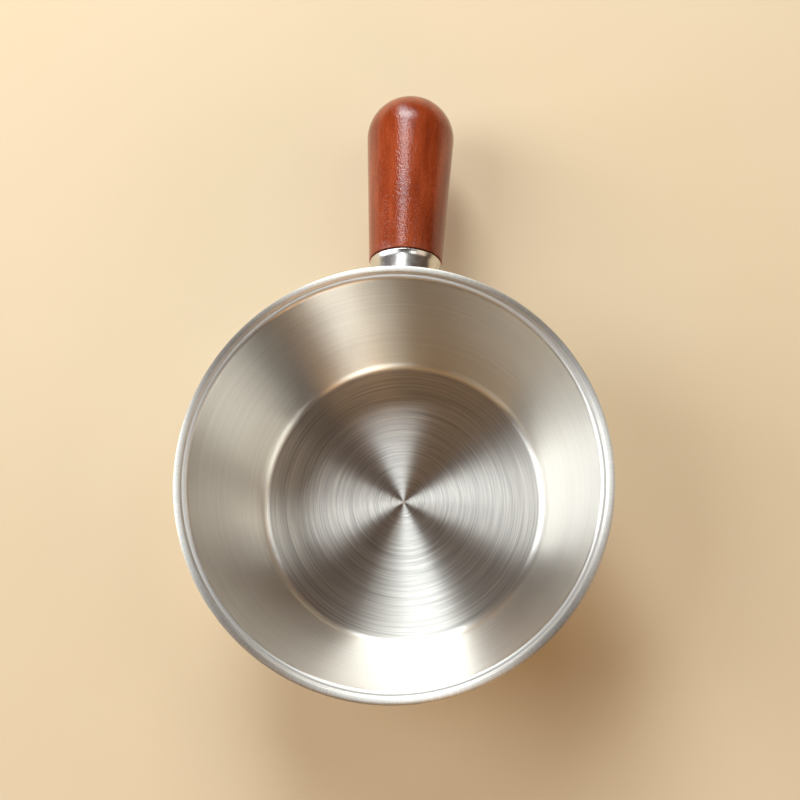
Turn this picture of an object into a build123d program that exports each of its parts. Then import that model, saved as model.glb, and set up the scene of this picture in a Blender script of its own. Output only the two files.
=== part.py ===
from build123d import *
import math
import os

# Milk pan: a bowl drawn from one disc of stainless sheet with a curled rim, an aluminium core shut
# under its floor by a steel cap, and a turned wooden handle screwed to a polished steel ferrule.
# Millimetres, +Z up, origin at the centre of the base underside, handle towards +Y.

# Bowl
sheet = 0.8  # thickness of the drawn sheet
inner_depth = 77.0  # floor to the top of the rim
mouth_radius = 79.7  # inside, where the wall would meet the rim's ledge unrounded
foot_radius = 63.0  # inside, where the wall would meet the floor unrounded
floor_corner = 4.5  # inside radius between floor and wall

# Curled rim: the wall bends out to a narrow ledge, then the sheet rolls over into an open bead
ledge_width = 2.0
ledge_drop = 1.3  # ledge below the top of the bead
lip_bend = 1.0  # hidden radius where the wall bends out
crease_bend = 0.3  # visible radius between ledge and bead
bead_radius = 1.65
curl_turn = 300.0  # degrees that the bead rolls round

# Base
cap_sheet = 0.5
cap_corner = 1.5  # outside radius at the cap's lower edge
core_thickness = 3.0
base_inset = 3.0  # outside of the cap, in from the bowl's foot radius

# Handle line, from the pan's axis outwards
handle_droop = 7.3  # degrees below level
handle_line_drop = 28.4  # where the line crosses the pan's axis, below the rim
rim_clearance = 15.6  # between the rim and the wood, along the handle

# Ferrule: a turned cup, welded to the bowl's wall at its open end, with a collar that flares to the wood
ferrule_wall = 1.0
ferrule_radius = 14.85
ferrule_corner = 0.8  # inside, at the closed end
collar_radius = 15.5
collar_length = 1.8  # before its start is rounded
collar_bend = 7.0  # hollow curve between ferrule and collar
collar_edge = 0.3
weld_gap = 0.05

# Threaded stud, with a nut welded inside the ferrule
stud_radius = 3.0
stud_tail = 2.0  # length that stands out behind the nut
nut_flats = 10.0  # across the flats
nut_height = 5.0
nut_bevel_angle = 60.0  # degrees of the bevel on its corners
stud_chamfer = 0.6
thread_clearance = 0.05
hole_clearance = 0.2

# Seal ring, a thin washer between steel and wood
seal_thickness = 0.4
seal_radius = 14.8

# Wooden grip
grip_length = 80.6
grip_front_radius = 15.8  # at the ferrule
grip_end_radius = 19.4  # of the ball-shaped end
grip_edge = 0.4  # rounded edge at the ferrule

# Threaded insert in the wood
insert_radius = 5.0
insert_length = 18.0
insert_collar_radius = 7.0
insert_collar = 1.5
pilot_depth = 8.0  # hole past the insert, where the stud runs out
stud_runout = 4.0  # length of the stud past the insert

# Heights
floor_underside = cap_sheet + core_thickness
floor_top = floor_underside + sheet
rim_top = floor_top + inner_depth
ledge_top = rim_top - ledge_drop
bead_height = rim_top - bead_radius

# The wall's slope, and the sheet's width measured level across it
flare = math.atan2(mouth_radius - foot_radius, ledge_top - floor_top)
sheet_across = sheet / math.cos(flare)

# Radii of the base and the rim
base_radius = foot_radius - base_inset
bead_line_radius = mouth_radius + ledge_width + bead_radius
rim_radius = bead_line_radius + bead_radius

# Places along the handle line
grip_start = rim_radius + rim_clearance
grip_end = grip_start + grip_length
ball_centre = grip_end - grip_end_radius
ferrule_end = grip_start - seal_thickness
nut_face = ferrule_end - ferrule_wall
stud_start = nut_face - nut_height - stud_tail
stud_end = grip_start + insert_length + stud_runout

# The handle's frame: local X runs outwards along its line, local Y is the upward radius
handle_height = rim_top - handle_line_drop
droop = math.radians(handle_droop)
handle_direction = (0, math.cos(droop), -math.sin(droop))
handle_plane = Plane(origin=(0, 0, handle_height), x_dir=handle_direction, z_dir=(1, 0, 0))
handle_axis = Axis(origin=(0, 0, handle_height), direction=handle_direction)


def cross_section(distance):
    """Plane square to the handle line, at a distance from the pan's axis, facing outwards."""
    centre = handle_plane.from_local_coords((distance, 0, 0))
    return Plane(origin=centre, x_dir=(1, 0, 0), z_dir=handle_direction)


# The crease is a small arc tangent to the ledge and to the bead; these are its centre's place
# relative to the bead's, and the angle at which it hands over to the bead
crease_rise = ledge_top + crease_bend - bead_height
crease_reach = math.sqrt((bead_radius + crease_bend) ** 2 - crease_rise**2)
crease_centre = (bead_line_radius - crease_reach, ledge_top + crease_bend)
crease_angle = math.degrees(math.atan2(crease_rise, crease_reach))


def sheet_side(depth):
    """One side of the bowl's sheet, at a depth below the visible side, from the axis to the curl's end."""
    corner_shift = depth / math.cos(flare) - depth * math.tan(flare)
    FilletPolyline(
        (0, floor_top - depth),
        (foot_radius + corner_shift, floor_top - depth),
        (mouth_radius + corner_shift, ledge_top - depth),
        (crease_centre[0], ledge_top - depth),
        radius=(floor_corner + depth, lip_bend + sheet - depth),
    )
    CenterArc(crease_centre, crease_bend + depth, -90, 90 - crease_angle)
    bead_centre = (bead_line_radius, bead_height)
    curl = CenterArc(bead_centre, bead_radius - depth, 180 - crease_angle, -curl_turn)
    return curl @ 1


# Drawn bowl with its curled rim, revolved from the section of its sheet
with BuildPart() as pan_body:
    with BuildSketch(Plane.XZ):
        with BuildLine():
            Line(sheet_side(0), sheet_side(sheet))
            Line((0, floor_top), (0, floor_underside))
        make_face()
    revolve(axis=Axis.Z)

# Aluminium core under the floor
core_radius = base_radius - cap_sheet
with BuildPart() as base_core:
    with BuildSketch(Plane.XY.offset(cap_sheet)):
        Circle(core_radius)
    extrude(amount=core_thickness)
    fillet(base_core.edges().filter_by(GeomType.CIRCLE).sort_by(Axis.Z)[0], cap_corner - cap_sheet)

# Steel cap round the core, with its skirt turned up to the bowl
with BuildPart() as base_cap:
    with BuildSketch(Plane.XY):
        Circle(base_radius)
    extrude(amount=floor_underside)
    fillet(base_cap.edges().filter_by(GeomType.CIRCLE).sort_by(Axis.Z)[0], cap_corner)
    add(base_core.part, mode=Mode.SUBTRACT)

# Ferrule: body with its collar, cavity and stud hole, with its open end cut to the bowl's wall
cavity_radius = ferrule_radius - ferrule_wall
with BuildPart() as ferrule:
    with BuildSketch(handle_plane):
        with BuildLine():
            FilletPolyline(
                (foot_radius, ferrule_radius),
                (ferrule_end - collar_length, ferrule_radius),
                (ferrule_end, collar_radius),
                (ferrule_end, 0),
                radius=(collar_bend, collar_edge),
            )
            Polyline((ferrule_end, 0), (foot_radius, 0), (foot_radius, ferrule_radius))
        make_face()
    revolve(axis=handle_axis)
    with BuildSketch(handle_plane):
        with BuildLine():
            FilletPolyline(
                (foot_radius, cavity_radius),
                (nut_face, cavity_radius),
                (nut_face, 0),
                radius=ferrule_corner,
            )
            Polyline((nut_face, 0), (foot_radius, 0), (foot_radius, cavity_radius))
        make_face()
    revolve(axis=handle_axis, mode=Mode.SUBTRACT)
    with BuildSketch(cross_section(ferrule_end)):
        Circle(stud_radius + hole_clearance)
    extrude(amount=-ferrule_wall, mode=Mode.SUBTRACT)
    with BuildSketch(Plane.XZ):
        with BuildLine():
            Polyline(
                (0, floor_top),
                (foot_radius + sheet_across + weld_gap, floor_top),
                (mouth_radius + sheet_across + weld_gap, ledge_top),
                (0, ledge_top),
                close=True,
            )
        make_face()
    revolve(axis=Axis.Z, mode=Mode.SUBTRACT)

# Hexagonal nut, bevelled on its free side, welded to the inside of the ferrule's end
with BuildPart() as weld_nut:
    with BuildSketch(cross_section(nut_face)):
        RegularPolygon(radius=nut_flats / 2, side_count=6, major_radius=False)
        Circle(stud_radius + thread_clearance, mode=Mode.SUBTRACT)
    extrude(amount=-nut_height)
    with BuildSketch(cross_section(nut_face - nut_height)):
        Circle(nut_flats / 2)
    extrude(amount=nut_height, taper=-nut_bevel_angle, mode=Mode.INTERSECT)

# Stud through the nut, the seal ring and the insert
with BuildPart() as tie_stud:
    with BuildSketch(cross_section(stud_start)):
        Circle(stud_radius)
    extrude(amount=stud_end - stud_start)
    chamfer(tie_stud.edges().filter_by(GeomType.CIRCLE), stud_chamfer)

# Thin washer on the flat of the ferrule's end
with BuildPart() as seal_ring:
    with BuildSketch(cross_section(ferrule_end)):
        Circle(seal_radius)
        Circle(stud_radius + hole_clearance, mode=Mode.SUBTRACT)
    extrude(amount=seal_thickness)

# Threaded insert with a collar at the wood's front face
with BuildPart() as insert_nut:
    with BuildSketch(cross_section(grip_start)):
        Circle(insert_collar_radius)
    extrude(amount=insert_collar)
    with BuildSketch(cross_section(grip_start)):
        Circle(insert_radius)
    extrude(amount=insert_length)
    with BuildSketch(cross_section(grip_start)):
        Circle(stud_radius + thread_clearance)
    extrude(amount=insert_length, mode=Mode.SUBTRACT)

# Turned grip: a cone that runs tangent into a ball-shaped end, bored for the insert and the stud
ball_distance = ball_centre - grip_start
grip_slope = math.asin(grip_end_radius / math.hypot(grip_front_radius, ball_distance)) - math.atan2(
    grip_front_radius, ball_distance
)
ball_start = (
    ball_centre - grip_end_radius * math.sin(grip_slope),
    grip_end_radius * math.cos(grip_slope),
)
with BuildPart() as handle_grip:
    with BuildSketch(handle_plane):
        with BuildLine():
            FilletPolyline((grip_start, 0), (grip_start, grip_front_radius), ball_start, radius=grip_edge)
            ball_arc = 90 + math.degrees(grip_slope)
            CenterArc((ball_centre, 0), grip_end_radius, ball_arc, -ball_arc)
            Line((grip_end, 0), (grip_start, 0))
        make_face()
    revolve(axis=handle_axis)
    for radius, depth in (
        (insert_collar_radius + hole_clearance, insert_collar + hole_clearance),
        (insert_radius + hole_clearance, insert_length + hole_clearance),
        (stud_radius + hole_clearance, insert_length + pilot_depth),
    ):
        with BuildSketch(cross_section(grip_start)):
            Circle(radius)
        extrude(amount=depth, mode=Mode.SUBTRACT)

os.makedirs("parts", exist_ok=True)
for name, piece in {
    "pan_body": pan_body,
    "base_core": base_core,
    "base_cap": base_cap,
    "ferrule": ferrule,
    "weld_nut": weld_nut,
    "tie_stud": tie_stud,
    "seal_ring": seal_ring,
    "insert_nut": insert_nut,
    "handle_grip": handle_grip,
}.items():
    piece.part.label = name
    export_step(piece.part, f"parts/{name}.step")
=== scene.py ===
# %% [markdown]
# # Milk pan in brushed stainless steel with a turned wooden handle
#
# The pan is a bowl drawn from one steel disc. Its rim is curled over into a bead, its floor carries an
# aluminium core shut in a steel cap, and a polished steel ferrule joins it to a wooden grip. The solid
# model is loaded first and fixes every size and place. What follows adds the surfaces and finishes that
# the eye sees, in the same frame: metres, +Z up, handle towards +Y.

# %% Load the solid model
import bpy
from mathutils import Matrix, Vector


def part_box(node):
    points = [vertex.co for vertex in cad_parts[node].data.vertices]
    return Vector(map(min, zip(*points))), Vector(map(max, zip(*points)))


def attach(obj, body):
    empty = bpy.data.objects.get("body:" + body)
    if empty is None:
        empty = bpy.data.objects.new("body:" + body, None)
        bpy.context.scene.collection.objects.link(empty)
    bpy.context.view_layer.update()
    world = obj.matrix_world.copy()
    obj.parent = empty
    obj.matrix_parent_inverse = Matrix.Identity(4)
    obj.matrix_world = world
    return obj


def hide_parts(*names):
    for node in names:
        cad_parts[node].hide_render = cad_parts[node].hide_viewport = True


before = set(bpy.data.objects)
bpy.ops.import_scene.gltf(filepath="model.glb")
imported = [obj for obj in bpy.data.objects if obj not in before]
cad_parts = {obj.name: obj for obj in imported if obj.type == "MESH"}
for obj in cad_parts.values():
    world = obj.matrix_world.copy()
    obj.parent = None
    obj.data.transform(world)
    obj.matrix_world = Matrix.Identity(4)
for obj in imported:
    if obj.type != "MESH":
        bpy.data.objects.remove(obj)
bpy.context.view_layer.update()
print("nodes:", sorted(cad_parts))

# %% Other modules and units
import math

import bpy
from mathutils import Matrix, Vector

MM = 0.001  # one millimetre in the scene's metres
print("Blender", bpy.app.version_string)

# %% [markdown]
# ## Camera
#
# The pan was photographed almost straight into its mouth, with the handle pointing up. Lying on its base
# here, that makes a camera high above it, tipped a little towards the handle. It could be placed by eye,
# but the rim's ellipse, the floor's circle and the handle's tip fix it better: the numbers below put all
# three where the photograph has them. A lens of 53 mm on the default 36 mm sensor gives its perspective.

# %% Camera
CAMERA_PLACE = Vector((35.1, -66.0, 528.2)) * MM
CAMERA_AIM = Vector((2.9, 28.7, 87.4)) * MM
CAMERA_ROLL = math.radians(-17.45)
LENS_MM = 53.2

camera = bpy.data.objects.new("camera", bpy.data.cameras.new("camera"))
bpy.context.scene.collection.objects.link(camera)
camera.data.lens = LENS_MM
camera.data.clip_start = 10 * MM
look = (CAMERA_AIM - CAMERA_PLACE).to_track_quat("-Z", "Y")
camera.matrix_world = (
    Matrix.Translation(CAMERA_PLACE) @ look.to_matrix().to_4x4() @ Matrix.Rotation(CAMERA_ROLL, 4, "Z")
)
bpy.context.scene.camera = camera
print("camera distance in mm:", round((CAMERA_AIM - CAMERA_PLACE).length / MM))

# %% [markdown]
# ## Colours and node helpers
#
# Colours are written as the hex values a paint program shows. Blender works in linear light, so one
# function converts them. Nodes could be placed and wired one by one, which takes many lines, so one more
# function adds a shader node with its settings and links. It keeps every material short.

# %% Helpers for colours and nodes


def colour(hex_value):
    """A linear RGBA colour from an sRGB hex value such as "c8b28a"."""
    parts = [int(hex_value[i : i + 2], 16) / 255 for i in (0, 2, 4)]
    return [p / 12.92 if p <= 0.04045 else ((p + 0.055) / 1.055) ** 2.4 for p in parts] + [1.0]


def add(tree, kind, inputs=None, **settings):
    """Adds a node. Settings are its properties; an input is given a value or another node's output."""
    node = tree.nodes.new("ShaderNode" + kind)
    for name, value in settings.items():
        setattr(node, name, value)
    for name, value in (inputs or {}).items():
        if isinstance(value, bpy.types.NodeSocket):
            tree.links.new(value, node.inputs[name])
        else:
            node.inputs[name].default_value = value
    return node


def new_material(name):
    """An empty material and its node tree."""
    material = bpy.data.materials.new(name)
    material.use_nodes = True
    material.node_tree.nodes.clear()
    return material, material.node_tree


print("middle grey in linear light:", round(colour("808080")[0], 3))

# %% [markdown]
# ## Floor and light
#
# A plain pale floor takes the pan's shadow. Steel shows little of its own colour: what it shows is what
# stands around it. A sky or one big lamp would turn it into one even grey, so the lamps are soft panels,
# placed where the photograph's bright fans on the brushed steel say that its lamps stood.

# %% Floor
FLOOR_SIZE = 3.0  # metres
MOTTLE_SIZE = 1000 / 9 * MM

# Matt paint: two close creams in soft patches, so that the shadow falls on no dead flat colour
matt_paint, tree = new_material("matt_pale_backdrop")
place = add(tree, "TexCoord").outputs["Object"]
mottle = add(tree, "TexNoise", {"Vector": place, "Scale": 1 / MOTTLE_SIZE, "Detail": 3.0}).outputs["Fac"]
creams = {"Color1": colour("e0caa6"), "Color2": colour("e4d0b0")}
tint = add(tree, "MixRGB", {"Fac": mottle, **creams}).outputs["Color"]
paint = add(tree, "BsdfPrincipled", {"Base Color": tint, "Roughness": 0.85})
add(tree, "OutputMaterial", {"Surface": paint.outputs[0]})

bpy.ops.mesh.primitive_plane_add(size=FLOOR_SIZE)
backdrop = bpy.context.object
backdrop.name = "floor"
backdrop.data.materials.append(matt_paint)
print("floor:", FLOOR_SIZE, "m square")

# %% Lamps
LAMP_DISTANCE = 1.5  # metres
LAMP_AIM = Vector((0, 0, 50 * MM))  # a point inside the bowl


def softbox(name, azimuth, elevation, width, height, watts, hex_colour):
    """A flat soft lamp that faces the pan. Azimuth 0 stands towards the handle, 90 to the right of it."""
    turn, rise = math.radians(azimuth), math.radians(elevation)
    away = Vector((math.sin(turn) * math.cos(rise), math.cos(turn) * math.cos(rise), math.sin(rise)))
    data = bpy.data.lights.new(name, "AREA")
    data.shape, data.size, data.size_y = "RECTANGLE", width, height
    data.energy, data.color = watts, colour(hex_colour)[:3]
    lamp = bpy.data.objects.new(name, data)
    bpy.context.scene.collection.objects.link(lamp)
    facing = (-away).to_track_quat("-Z", "Y").to_matrix().to_4x4()
    lamp.matrix_world = Matrix.Translation(away * LAMP_DISTANCE + LAMP_AIM) @ facing


# Beyond the handle
softbox("key_softbox", 352.5, 36.5, 0.78, 0.38, 9.8, "f8feff")
softbox("key_strip", 345, 36.5, 0.38, 1.57, 10.6, "f0f9ff")
# Left and right of the pan: the left one is the strongest lamp of all
softbox("left_softbox", 277.5, 36.5, 0.78, 1.57, 17.0, "f5fbff")
softbox("right_fill", 90, 36.5, 1.17, 0.78, 3.1, "ffeed7")
softbox("right_top", 60, 59, 0.38, 0.38, 1.45, "f6fdff")
# In front: weak warm light, as pale things near a pan throw back
softbox("front_reflector", 157.5, 29, 0.78, 0.38, 3.15, "ffc88b")
softbox("front_warmth", 202.5, 44, 1.57, 0.38, 2.1, "ffc777")

# %% Ambient light
AMBIENT_COLOUR = "ffc6a6"
AMBIENT_STRENGTH = 0.068

world = bpy.data.worlds.new("studio")
bpy.context.scene.world = world
world.use_nodes = True
background = world.node_tree.nodes["Background"]
background.inputs["Color"].default_value = colour(AMBIENT_COLOUR)
background.inputs["Strength"].default_value = AMBIENT_STRENGTH

bpy.context.scene.view_settings.view_transform = "Standard"
print("ambient light:", AMBIENT_COLOUR, "at", AMBIENT_STRENGTH)

# %% [markdown]
# ## Turning a shape
#
# The bowl, the cap, the ferrule and the grip are all round, as if turned on a lathe. Blender's spin tool
# could turn a drawn line round an axis. Here each piece starts as one circle of vertices instead, which is
# extruded, moved up and scaled again and again. That follows a list of radii and heights, so every size
# stays exact. Round corners in the outline are worked out as arcs, so that the curves stay smooth.

# %% Outlines


def arc(centre, radius, start, turn, steps):
    """Points on an arc, in degrees from the radius axis, both ends included."""
    angles = [math.radians(start + turn * i / steps) for i in range(steps + 1)]
    return [(centre[0] + radius * math.cos(a), centre[1] + radius * math.sin(a)) for a in angles]


def rounded(before, corner, after, radius, steps):
    """Points on the arc that rounds a corner between two straight lines."""
    corner = Vector(corner)
    one = (Vector(before) - corner).normalized()
    two = (Vector(after) - corner).normalized()
    half = one.angle(two) / 2
    centre = corner + (one + two).normalized() * radius / math.sin(half)
    first = corner + one * radius / math.tan(half) - centre
    last = corner + two * radius / math.tan(half) - centre
    turn = first.angle_signed(last)
    points = [first.copy() for _ in range(steps + 1)]
    for i, point in enumerate(points):
        point.rotate(Matrix.Rotation(-turn * i / steps, 2))
    return [tuple(centre + point) for point in points]


def between(start, end, count):
    """Evenly spaced points between two points, without the ends."""
    start, end = Vector(start), Vector(end)
    return [tuple(start.lerp(end, (i + 1) / (count + 1))) for i in range(count)]


print("a quarter turn in 6 steps has", len(arc((0, 0), 1, 0, 90, steps=6)), "points")

# %% Lathe
SMOOTH_BELOW = math.radians(35)  # edges sharper than this stay crisp


def deselect_all():
    """Nothing stays selected, so the next operator acts only on what it should."""
    bpy.ops.object.select_all(action="DESELECT")


def turned(name, outline, segments):
    """A closed mesh turned about Z from an outline of (radius, height) points."""
    deselect_all()
    radius, height = outline[0]
    bpy.ops.mesh.primitive_circle_add(vertices=segments, radius=radius, location=(0, 0, 0))
    piece = bpy.context.object
    piece.name = piece.data.name = name
    bpy.ops.object.mode_set(mode="EDIT")
    bpy.ops.mesh.select_mode(type="VERT")
    bpy.ops.mesh.select_all(action="SELECT")
    bpy.ops.transform.translate(value=(0, 0, height))
    for new_radius, new_height in outline[1:]:
        bpy.ops.mesh.extrude_region_move(TRANSFORM_OT_translate={"value": (0, 0, new_height - height)})
        scale = new_radius / radius
        bpy.ops.transform.resize(value=(scale, scale, 1), center_override=(0, 0, new_height))
        radius, height = new_radius, new_height
    bpy.ops.mesh.select_all(action="SELECT")
    bpy.ops.mesh.remove_doubles(threshold=0.001 * MM)
    bpy.ops.mesh.fill_holes(sides=0)
    bpy.ops.mesh.select_all(action="DESELECT")
    bpy.ops.mesh.select_mode(type="FACE")
    bpy.ops.mesh.select_face_by_sides(number=segments)
    bpy.ops.mesh.poke()  # a fan of triangles closes each end neatly
    bpy.ops.mesh.select_all(action="SELECT")
    bpy.ops.mesh.normals_make_consistent(inside=False)
    bpy.ops.object.mode_set(mode="OBJECT")
    bpy.ops.object.shade_smooth_by_angle(angle=SMOOTH_BELOW)
    return piece


print("edges under", round(math.degrees(SMOOTH_BELOW)), "degrees look smooth")

# %% [markdown]
# ## Brushed stainless steel
#
# Stainless steel, brushed with an abrasive pad while the bowl spins. The scratches run round the axis.
# Along them the steel is still smooth, across them it is rough, so a lamp spreads into a bright fan that
# points to the middle of the floor. The shader has this as anisotropy: a Tangent node gives the direction
# round Z, and a quarter turn puts the wide side of the highlight across the scratches.
#
# A picture of scratches would need a flattened copy of the bowl and would show its seams. Noise drawn out
# in long thin rings has none. It changes mostly the brightness, the roughness a little, and it tilts the
# direction, which frays the edges of the fans. Real scratches lie a few hundredths of a millimetre apart,
# too fine for the render, so the rings are drawn about a millimetre apart, as coarse as they need to show.

# %% Rings round the bowl
RING_SCRATCH = 2.0  # radians that the longest scratches run round the bowl


def ring_noise(tree, spacing, arc_length, detail=3.0):
    """Noise drawn out in rings round Z. Spacing is across the rings, arc_length along them in radians."""
    place = add(tree, "TexCoord").outputs["Object"]
    flat = add(tree, "VectorMath", {0: place, 1: (1, 1, 0)}, operation="MULTIPLY").outputs[0]
    outward = add(tree, "VectorMath", {0: flat}, operation="NORMALIZE").outputs[0]
    reach = add(tree, "VectorMath", {0: flat}, operation="LENGTH").outputs["Value"]
    height = add(tree, "SeparateXYZ", {0: place}).outputs["Z"]
    along_sheet = add(tree, "Math", {0: reach, 1: height}, operation="ADD").outputs[0]
    ring = add(tree, "VectorMath", {0: outward, "Scale": 1 / arc_length}, operation="SCALE").outputs[0]
    step = add(tree, "Math", {0: along_sheet, 1: 1 / spacing}, operation="MULTIPLY").outputs[0]
    lift = add(tree, "CombineXYZ", {"Z": step}).outputs[0]
    where = add(tree, "VectorMath", {0: ring, 1: lift}, operation="ADD").outputs[0]
    grit = {"Scale": 1.0, "Detail": detail, "Roughness": 0.6}
    return add(tree, "TexNoise", {"Vector": where, **grit}).outputs[0]


print("the longest scratches turn", round(math.degrees(RING_SCRATCH)), "degrees round the bowl")

# %% Brushed steel
NOISE_RANGE = {"From Min": 0.3, "From Max": 0.7}  # most of a noise lies between these two


def brushed_steel(
    name, hex_colour, gloss, spacing, contrast, detail=3.0, run=RING_SCRATCH, depth=0.0024 * MM
):
    """Stainless steel brushed in rings.

    Gloss is the roughness and the anisotropy. Contrast is how much single scratches change the brightness
    and the roughness, and how far they stray. Run is the scratches' length in radians, depth their relief.
    """
    roughness, anisotropy = gloss
    shade, haze, fray = contrast
    material, tree = new_material(name)
    scratches = ring_noise(tree, spacing, run, detail)
    hairs = ring_noise(tree, spacing / 2, run / 4, detail)
    both = add(tree, "Math", {0: scratches, 1: hairs}, operation="ADD").outputs[0]
    both = add(tree, "Math", {0: both, 1: 0.5}, operation="MULTIPLY").outputs[0]

    limits = {"To Min": roughness * (1 - haze), "To Max": roughness * (1 + haze)}
    rough = add(tree, "MapRange", {"Value": hairs, **NOISE_RANGE, **limits}, clamp=False).outputs[0]
    limits = {"To Min": 1 - 2 * shade, "To Max": 1 + 2 * shade}
    tone = add(tree, "MapRange", {"Value": both, **NOISE_RANGE, **limits}, clamp=False).outputs[0]
    tint = add(tree, "VectorMath", {0: colour(hex_colour)[:3], "Scale": tone}, operation="SCALE").outputs[0]

    round_z = add(tree, "Tangent", direction_type="RADIAL", axis="Z").outputs[0]
    normal = add(tree, "NewGeometry").outputs["Normal"]
    across = add(tree, "VectorMath", {0: round_z, 1: normal}, operation="CROSS_PRODUCT").outputs[0]
    bends = ring_noise(tree, spacing * 0.8, run / 1.5)
    limits = {"To Min": -fray, "To Max": fray}
    stray = add(tree, "MapRange", {"Value": bends, **NOISE_RANGE, **limits}, clamp=False).outputs[0]
    push = add(tree, "VectorMath", {0: across, "Scale": stray}, operation="SCALE").outputs[0]
    direction = add(tree, "VectorMath", {0: round_z, 1: push}, operation="ADD").outputs[0]

    relief = add(tree, "Bump", {"Height": scratches, "Strength": 1.0, "Distance": depth}).outputs[0]
    metal = {"Metallic": 1.0, "Anisotropic": anisotropy, "Anisotropic Rotation": 0.25}
    links = {"Base Color": tint, "Roughness": rough, "Tangent": direction, "Normal": relief}
    steel = add(tree, "BsdfPrincipled", {**metal, **links})
    add(tree, "OutputMaterial", {"Surface": steel.outputs[0]})
    return material


# %% Six brushed finishes
CROSS_SCRATCH = 0.007  # radians that a mark across the rim is wide

# The floor's rings show one by one under the fans
floor_steel = brushed_steel(
    "brushed_stainless_floor", "e9e6df", (0.30, 1.0), 0.85 * MM, (0.13, 0.03, 0.03), detail=1.0
)
# The wall has the same sheen, but it is satin to the eye: its rings hardly show
wall_steel = brushed_steel("satin_stainless_wall", "e9e6df", (0.30, 1.0), 1.1 * MM, (0.05, 0.02, 0.04))
# The outside is a little darker, with fine lines round it
outside_steel = brushed_steel(
    "brushed_stainless_outside", "dddad3", (0.28, 0.8), 1.0 * MM, (0.05, 0.03, 0.03)
)
# The cap has coarser rings, as a lathe tool leaves them
cap_steel = brushed_steel("turned_stainless_cap", "d8d5ce", (0.34, 0.8), 1.5 * MM, (0.1, 0.06, 0.04))
# The bead glows softly all round, with faint marks across it that the curling roller leaves
bead_steel = brushed_steel(
    "cross_brushed_stainless_bead",
    "f2f0ea",
    (0.60, 1.0),
    4 * MM,
    (0.06, 0.06, 0.0),
    run=CROSS_SCRATCH,
    depth=0.02 * MM,
)
# The ledge and the lip under it are duller, which sets off the two bright lines beside them
lip_steel = brushed_steel("satin_stainless_lip", "dedbd5", (0.44, 0.65), 0.7 * MM, (0.05, 0.05, 0.03))
print("steels:", [m.name for m in bpy.data.materials if "stainless" in m.name])

# %% [markdown]
# ## Polished stainless steel
#
# The ferrule is buffed with a cloth wheel and a fine compound. It mirrors its surroundings softly. One
# even roughness would make it look like plastic. What keeps it from that is the haze that the wheel
# leaves, in patches a few millimetres wide, and a skin that is never quite flat. Noise draws both.

# %% Polished steel
HAZE_SIZE = 6 * MM
WAVE_SIZE = 4 * MM
WAVE_DEPTH = 0.02 * MM

# Buffed steel: soft reflections with slightly uneven edges
buffed_steel, tree = new_material("buffed_stainless_ferrule")
place = add(tree, "TexCoord").outputs["Object"]
haze = add(tree, "TexNoise", {"Vector": place, "Scale": 1 / HAZE_SIZE, "Detail": 4.0}).outputs[0]
waves = add(tree, "TexNoise", {"Vector": place, "Scale": 1 / WAVE_SIZE, "Detail": 2.0}).outputs[0]
relief = add(tree, "Bump", {"Height": waves, "Strength": 1.0, "Distance": WAVE_DEPTH}).outputs[0]
limits = {"To Min": 0.21, "To Max": 0.31}
rough = add(tree, "MapRange", {"Value": haze, **NOISE_RANGE, **limits}, clamp=False).outputs[0]
metal = {"Base Color": colour("dddad4"), "Metallic": 1.0}
steel = add(tree, "BsdfPrincipled", {**metal, "Roughness": rough, "Normal": relief})
add(tree, "OutputMaterial", {"Surface": steel.outputs[0]})
print("ferrule finish:", buffed_steel.name)

# %% [markdown]
# ## Varnished wood
#
# A dense red tropical wood, turned smooth, sanded along the grain and varnished. It shows little figure:
# broad faint streaks along the handle, because the billet is cut along the trunk, and short fine pores. A
# picture wrapped round the grip would have a seam and would pinch at the ball. Noise in space runs through
# the whole billet, as grain does. It is turned by the handle's droop, so that it runs true.
#
# The varnish is a coat over the colour. It doesn't quite fill the pores and dries to a fine orange peel, so
# its highlights have soft speckled edges. Real pores are about 0.1 mm wide. Here they are drawn several
# times as wide, so that they show.

# %% Grain
HANDLE_DROOP = math.radians(7.3)
STREAK_WIDTH = 3.5 * MM
BLOTCH_WIDTH = 11 * MM
STREAK_STRETCH = (1, 0.12, 1)  # a pattern squeezed to 0.12 along the handle is drawn out 8 times there
BLOTCH_STRETCH = (1, 0.4, 1)

# Red wood under varnish: warm red-brown with faint long streaks, and a soft highlight along the top
varnished_wood, tree = new_material("varnished_red_wood")
place = add(tree, "TexCoord").outputs["Object"]
aligned = add(tree, "Mapping", {"Vector": place, "Rotation": (HANDLE_DROOP, 0, 0)}).outputs[0]
drawn_out = add(tree, "VectorMath", {0: aligned, 1: STREAK_STRETCH}, operation="MULTIPLY").outputs[0]
fibres = {"Scale": 1 / STREAK_WIDTH, "Detail": 4.0, "Roughness": 0.6}
streaks = add(tree, "TexNoise", {"Vector": drawn_out, **fibres}).outputs[0]
drawn_out = add(tree, "VectorMath", {0: aligned, 1: BLOTCH_STRETCH}, operation="MULTIPLY").outputs[0]
patches = {"Scale": 1 / BLOTCH_WIDTH, "Detail": 2.0}
blotches = add(tree, "TexNoise", {"Vector": drawn_out, **patches}).outputs[0]
grain = add(tree, "Math", {0: streaks, 1: blotches}, operation="ADD").outputs[0]
grain = add(tree, "Math", {0: grain, 1: 0.5}, operation="MULTIPLY").outputs[0]
ramp = add(tree, "ValToRGB", {"Fac": grain})
for position, hex_colour in ((0.36, "7f2f13"), (0.5, "913a19"), (0.64, "a24623")):
    stop = ramp.color_ramp.elements.new(position)
    stop.color = colour(hex_colour)
ramp.color_ramp.elements.remove(ramp.color_ramp.elements[0])
ramp.color_ramp.elements.remove(ramp.color_ramp.elements[-1])
print("wood colours:", len(ramp.color_ramp.elements))

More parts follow.
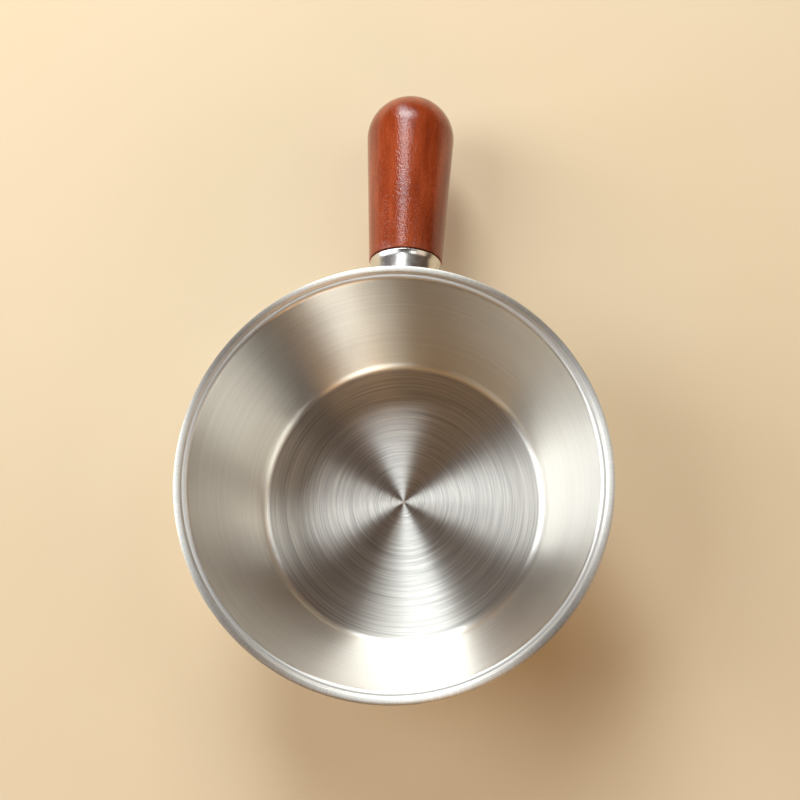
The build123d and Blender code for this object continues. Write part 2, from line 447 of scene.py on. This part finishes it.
# %% Pores and varnish
PORE_SIZE = 0.6 * MM
PORE_STRETCH = (1, 0.35, 1)
PORE_DEPTH = 0.04 * MM
PEEL_SIZE = 0.7 * MM
PEEL_DEPTH = 0.13 * MM

dashes = add(tree, "VectorMath", {0: aligned, 1: PORE_STRETCH}, operation="MULTIPLY").outputs[0]
pores = add(tree, "TexNoise", {"Vector": dashes, "Scale": 1 / PORE_SIZE, "Detail": 2.0}).outputs[0]
limits = {"To Min": 0.84, "To Max": 1.16}
tone = add(tree, "MapRange", {"Value": pores, **NOISE_RANGE, **limits}, clamp=False).outputs[0]
tint = add(tree, "VectorMath", {0: ramp.outputs["Color"], "Scale": tone}, operation="SCALE").outputs[0]

peel = add(tree, "TexNoise", {"Vector": aligned, "Scale": 1 / PEEL_SIZE, "Detail": 1.0}).outputs[0]
skin = add(tree, "Bump", {"Height": peel, "Strength": 1.0, "Distance": PEEL_DEPTH}).outputs[0]
pits = {"Height": pores, "Normal": skin, "Strength": 1.0, "Distance": PORE_DEPTH}
skin = add(tree, "Bump", pits).outputs[0]

bare_wood = {"Base Color": tint, "Normal": skin, "Roughness": 0.6, "Specular IOR Level": 0.0}
varnish = {"Coat Weight": 1.0, "Coat Roughness": 0.14, "Coat IOR": 1.55, "Coat Normal": skin}
wood = add(tree, "BsdfPrincipled", {**bare_wood, **varnish})
add(tree, "OutputMaterial", {"Surface": wood.outputs[0]})
print("grip finish:", varnished_wood.name)

# %% [markdown]
# ## Finishes inside the pan
#
# Rolled aluminium, plain turned steel, machined brass and pressed fibre. Nobody sees the first three unless
# the pan is taken apart. Of the fibre washer only a thin edge shows, and its nearly black colour is painted
# shade for the gap between steel and wood. Each could have a recipe as long as the steel's, but one serves
# all four
# here: two colours mixed by a fine noise, and the right gloss.

# %% Four plain finishes


def plain_finish(name, one, other, grain_size, metallic, roughness):
    """Two close colours in grains of a real size, with the gloss of the finish."""
    material, tree = new_material(name)
    place = add(tree, "TexCoord").outputs["Object"]
    grains = add(tree, "TexNoise", {"Vector": place, "Scale": 1 / grain_size, "Detail": 3.0}).outputs["Fac"]
    colours = {"Color1": colour(one), "Color2": colour(other)}
    tint = add(tree, "MixRGB", {"Fac": grains, **colours}).outputs["Color"]
    gloss = {"Metallic": metallic, "Roughness": roughness}
    surface = add(tree, "BsdfPrincipled", {"Base Color": tint, **gloss})
    add(tree, "OutputMaterial", {"Surface": surface.outputs[0]})
    return material


# Rolled aluminium: pale, cool and hazy
rolled_aluminium = plain_finish("rolled_aluminium", "d6d7d9", "c4c5c8", 2 * MM, 1.0, 0.4)
# Plain turned steel: darker and greyer than the bowl
plain_steel = plain_finish("plain_turned_steel", "b9b7b4", "9d9b98", 0.8 * MM, 1.0, 0.35)
# Machined brass: yellow, with a fine bright grain
machined_brass = plain_finish("machined_brass", "d9b672", "c79f58", 0.8 * MM, 1.0, 0.3)
# Pressed fibre, nearly black and dull: its dark colour is painted shade, the dark line of the gap between
# steel and wood
fibre_washer_painted_gap_shade = plain_finish("dark_fibre_painted_gap_shade", "2a1d18", "1b1310", 0.4 * MM, 0.0, 0.8)
print("materials:", len(bpy.data.materials))

# %% [markdown]
# ## Bowl
#
# The bowl is one sheet of steel, 0.8 mm thick. Its outline runs from the middle of the floor up the flared
# wall, bends out to a narrow ledge, rolls over the bead, and comes back on the hidden side of the sheet.
# One surface with no thickness would look like paper at the rim. A Solidify modifier could thicken it, but
# the whole section of the sheet is as easy to turn, and every radius of the curl is then exact.

# %% Sizes of the bowl
SHEET = 0.8 * MM
FLOOR_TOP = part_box("pan_body")[0].z + SHEET
RIM_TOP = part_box("pan_body")[1].z
RIM_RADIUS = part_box("pan_body")[1].x
FOOT_RADIUS = 63 * MM  # where wall and floor would meet unrounded
MOUTH_RADIUS = 79.7 * MM  # where wall and ledge would meet unrounded
FLOOR_CORNER = 4.5 * MM
LEDGE_TOP = RIM_TOP - 1.3 * MM
LIP_BEND = 1.0 * MM
CREASE_BEND = 0.3 * MM
BEAD_RADIUS = 1.65 * MM
CURL_TURN = 300  # degrees
POLE = 0.2 * MM  # radius of the first ring, which a fan of triangles closes

flare = math.atan2(MOUTH_RADIUS - FOOT_RADIUS, LEDGE_TOP - FLOOR_TOP)
bead_centre = (RIM_RADIUS - BEAD_RADIUS, RIM_TOP - BEAD_RADIUS)
crease_rise = LEDGE_TOP + CREASE_BEND - bead_centre[1]
crease_reach = math.sqrt((BEAD_RADIUS + CREASE_BEND) ** 2 - crease_rise**2)
crease_centre = (bead_centre[0] - crease_reach, LEDGE_TOP + CREASE_BEND)
crease_angle = math.degrees(math.atan2(crease_rise, crease_reach))
print("wall leans out by", round(math.degrees(flare), 1), "degrees")

# %% Outline of the sheet


def sheet_side(depth):
    """One side of the sheet, at a depth below the visible one, from the middle to the curl's end."""
    shift = depth / math.cos(flare) - depth * math.tan(flare)
    middle = (POLE, FLOOR_TOP - depth)
    foot = (FOOT_RADIUS + shift, FLOOR_TOP - depth)
    lip = (MOUTH_RADIUS + shift, LEDGE_TOP - depth)
    ledge = (crease_centre[0], LEDGE_TOP - depth)
    corner = rounded(middle, foot, lip, FLOOR_CORNER + depth, steps=12)
    bend = rounded(foot, lip, ledge, LIP_BEND + SHEET - depth, steps=8)
    crease = arc(crease_centre, CREASE_BEND + depth, -90, 90 - crease_angle, steps=6)
    curl = arc(bead_centre, BEAD_RADIUS - depth, 180 - crease_angle, -CURL_TURN, steps=40)
    floor_run = [middle] + between(middle, corner[0], count=8)
    wall_run = between(corner[-1], bend[0], count=10)
    return floor_run + corner + wall_run + bend + crease[:-1] + curl


bowl_outline = sheet_side(0) + sheet_side(SHEET)[::-1]
print("outline of the bowl:", len(bowl_outline), "points")

# %% Bowl
LIP_DEPTH = 0.5 * MM  # the lip's finish starts this far below the ledge
FLOOR_RISE = 1.2 * MM  # the floor's rings climb this far into the corner

bowl = turned("bowl", bowl_outline, segments=256)
WALL, FLOOR, OUTSIDE, BEAD, LIP = range(5)
for finish in (wall_steel, floor_steel, outside_steel, bead_steel, lip_steel):
    bowl.data.materials.append(finish)
for face in bowl.data.polygons:
    reach, height = Vector(face.center[:2]).length, face.center.z
    if math.dist((reach, height), bead_centre) < BEAD_RADIUS:
        face.material_index = BEAD
    elif height > LEDGE_TOP - LIP_DEPTH:
        face.material_index = LIP
    elif face.normal.z < 0 or height < FLOOR_TOP - SHEET / 2:
        face.material_index = OUTSIDE
    elif height < FLOOR_TOP + FLOOR_RISE:
        face.material_index = FLOOR
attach(bowl, "root")
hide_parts("pan_body")
print("bowl:", len(bowl.data.polygons), "faces, rim at", round(RIM_TOP / MM, 1), "mm")

# %% [markdown]
# ## Base cap
#
# A thick aluminium disc under the floor spreads the heat, and a thin steel cap shuts it in. Only the cap
# shows, as a shallow dish with a rounded lower edge. A plain disc would look the same from outside, but the
# cap is turned as a shell, so that the aluminium of the solid model still fits inside it.

# %% Base cap
BASE_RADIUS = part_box("base_cap")[1].x
CAP_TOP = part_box("base_cap")[1].z
CAP_SHEET = 0.5 * MM
CAP_CORNER = 1.5 * MM


def cap_side(depth):
    """One side of the cap's sheet, from the middle of the underside to the top of its skirt."""
    middle, corner, top = (POLE, depth), (BASE_RADIUS - depth, depth), (BASE_RADIUS - depth, CAP_TOP)
    edge = rounded(middle, corner, top, CAP_CORNER - depth, steps=8)
    return [middle] + between(middle, edge[0], count=6) + edge + [top]


cap = turned("base_cap_shell", cap_side(0) + cap_side(CAP_SHEET)[::-1], segments=192)
cap.data.materials.append(cap_steel)
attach(cap, "root")
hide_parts("base_cap")
print("base cap:", len(cap.data.polygons), "faces")

# %% [markdown]
# ## Ferrule
#
# A short cup of polished steel carries the handle. Its body is straight and flares into a low collar where
# it meets the wood. Its open end is trimmed to the bowl's slope and welded on. It is turned along Z first,
# because that is where the lathe works, then laid on the handle's line, which droops by 7.3 degrees. Its
# vertices could be pushed to the wall by hand, but a cone as large as the bowl's outside cuts the foot
# exactly, as a grinder would.

# %% The handle's line
LINE_DROP = 28.4 * MM  # below the rim, where the line crosses the bowl's axis
RIM_CLEARANCE = 15.6 * MM  # between the rim and the wood
SEAL_THICKNESS = 0.4 * MM

LINE_HEIGHT = RIM_TOP - LINE_DROP
LINE_TURN = -math.pi / 2 - HANDLE_DROOP  # about X, from straight up to along the handle
GRIP_START = RIM_RADIUS + RIM_CLEARANCE
FERRULE_END = GRIP_START - SEAL_THICKNESS


def lay_on_handle_line(piece):
    """Turns a piece made along +Z so that it lies along the handle, and puts the turn in its mesh."""
    deselect_all()
    piece.select_set(True)
    bpy.context.view_layer.objects.active = piece
    piece.location = (0, 0, LINE_HEIGHT)
    piece.rotation_euler = (LINE_TURN, 0, 0)
    bpy.ops.object.transform_apply(location=True, rotation=True, scale=True)


print("the wood starts", round(GRIP_START / MM, 1), "mm along the handle's line")

# %% Ferrule
FERRULE_RADIUS = 14.85 * MM
FERRULE_WALL = 1.0 * MM
FERRULE_CORNER = 0.8 * MM  # inside, at the closed end
COLLAR_RADIUS = 15.5 * MM
COLLAR_LENGTH = 1.8 * MM
COLLAR_BEND = 7.0 * MM
COLLAR_EDGE = 0.3 * MM
STUD_HOLE = 3.2 * MM

foot = (FERRULE_RADIUS, FOOT_RADIUS)
flare_start = (FERRULE_RADIUS, FERRULE_END - COLLAR_LENGTH)
collar = (COLLAR_RADIUS, FERRULE_END)
flared = rounded(foot, flare_start, collar, COLLAR_BEND, steps=12)
collar_edge = rounded(flare_start, collar, (0, FERRULE_END), COLLAR_EDGE, steps=5)
outside = [foot] + between(foot, flared[0], count=8) + flared + collar_edge + [(STUD_HOLE, FERRULE_END)]

cavity = FERRULE_RADIUS - FERRULE_WALL
cavity_end = FERRULE_END - FERRULE_WALL
cavity_foot = (cavity, FOOT_RADIUS)
cavity_corner = rounded(cavity_foot, (cavity, cavity_end), (0, cavity_end), FERRULE_CORNER, steps=5)
inside = [cavity_foot] + cavity_corner + [(STUD_HOLE, cavity_end)]

ferrule = turned("ferrule_cup", outside + inside[::-1] + [foot], segments=160)
lay_on_handle_line(ferrule)
print("ferrule turned:", len(ferrule.data.polygons), "faces")

# %% Foot of the ferrule
WELD_GAP = 0.05 * MM
wall_shift = SHEET / math.cos(flare) + WELD_GAP

deselect_all()
bpy.ops.mesh.primitive_cone_add(
    vertices=256,
    radius1=FOOT_RADIUS + wall_shift,
    radius2=MOUTH_RADIUS + wall_shift,
    depth=LEDGE_TOP - FLOOR_TOP,
    location=(0, 0, (LEDGE_TOP + FLOOR_TOP) / 2),
)
bowl_cutter = bpy.context.object

cut = ferrule.modifiers.new("cut", "BOOLEAN")
cut.operation, cut.solver, cut.object = "DIFFERENCE", "EXACT", bowl_cutter
deselect_all()
ferrule.select_set(True)
bpy.context.view_layer.objects.active = ferrule
bpy.ops.object.modifier_apply(modifier=cut.name)
bpy.data.objects.remove(bowl_cutter)
bpy.ops.object.shade_smooth_by_angle(angle=SMOOTH_BELOW)

ferrule.data.materials.clear()
ferrule.data.materials.append(buffed_steel)
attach(ferrule, "root")
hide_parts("ferrule")
nearest = min(v.co.y for v in ferrule.data.vertices)
print("ferrule cut to the bowl, nearest to the axis in mm:", round(nearest / MM, 1))

# %% [markdown]
# ## Grip
#
# The grip is turned from one billet of hard red wood: a slim cone that runs tangent into a ball. A cone and
# a sphere pushed together would show a crease where they meet, so one outline makes both. The wood is bored
# from its front face for the threaded insert and the stud. The outline starts at the bottom of that bore
# and ends at the tip of the ball.

# %% Bore for the insert
BORE_CLEARANCE = 0.2 * MM
COLLAR_BORE = (7 * MM + BORE_CLEARANCE, 1.5 * MM + BORE_CLEARANCE)  # radius and depth
INSERT_BORE = (5 * MM + BORE_CLEARANCE, 18 * MM + BORE_CLEARANCE)
STUD_BORE = (STUD_HOLE, 26 * MM)  # past the insert, where the stud runs out

bore = [(POLE, GRIP_START + STUD_BORE[1])]
for (radius, bottom), top in ((STUD_BORE, INSERT_BORE[1]), (INSERT_BORE, COLLAR_BORE[1]), (COLLAR_BORE, 0)):
    bore += [(radius, GRIP_START + bottom), (radius, GRIP_START + top)]
print("bore in mm:", [(round(r / MM, 1), round((height - GRIP_START) / MM, 1)) for r, height in bore])

# %% Grip
GRIP_LENGTH = 80.6 * MM
GRIP_FRONT_RADIUS = 15.8 * MM
GRIP_END_RADIUS = 19.4 * MM
GRIP_EDGE = 0.4 * MM
TIP_GAP = 0.6  # degrees of the ball round its tip, which a fan of triangles closes

ball = GRIP_START + GRIP_LENGTH - GRIP_END_RADIUS
slope = math.asin(GRIP_END_RADIUS / math.hypot(GRIP_FRONT_RADIUS, ball - GRIP_START)) - math.atan2(
    GRIP_FRONT_RADIUS, ball - GRIP_START
)
ball_turn = 90 - TIP_GAP + math.degrees(slope)
dome = arc((0, ball), GRIP_END_RADIUS, -math.degrees(slope), ball_turn, steps=40)
front_edge = rounded((0, GRIP_START), (GRIP_FRONT_RADIUS, GRIP_START), dome[0], GRIP_EDGE, steps=6)
side = between(front_edge[-1], dome[0], count=16)
grip = turned("turned_grip", bore + front_edge + side + dome, segments=160)
lay_on_handle_line(grip)
grip.data.materials.append(varnished_wood)
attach(grip, "root")
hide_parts("handle_grip")
tip = max(v.co.y for v in grip.data.vertices)
print("grip:", len(grip.data.polygons), "faces, tip at", round(tip / MM, 1), "mm")

# %% [markdown]
# ## Pieces that stay as the solid model has them
#
# The aluminium, the nut, the stud, the threaded insert and the thin washer are closed inside the pan, all
# but the washer's thin edge. They could be modelled again, but nothing would be gained: they keep their
# solid meshes and get the finish that they have on the real pan. The washer's nearly black colour is also
# painted shade for the gap between steel and wood.

# %% Inner pieces
for node, finish in {
    "base_core": rolled_aluminium,
    "weld_nut": plain_steel,
    "tie_stud": plain_steel,
    "insert_nut": machined_brass,
    # the washer's nearly black edge is painted shade for the gap between ferrule and wood
    "seal_ring": fibre_washer_painted_gap_shade,
}.items():
    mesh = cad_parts[node].data
    mesh.materials.clear()
    mesh.materials.append(finish)
    print(node, "is now", finish.name)
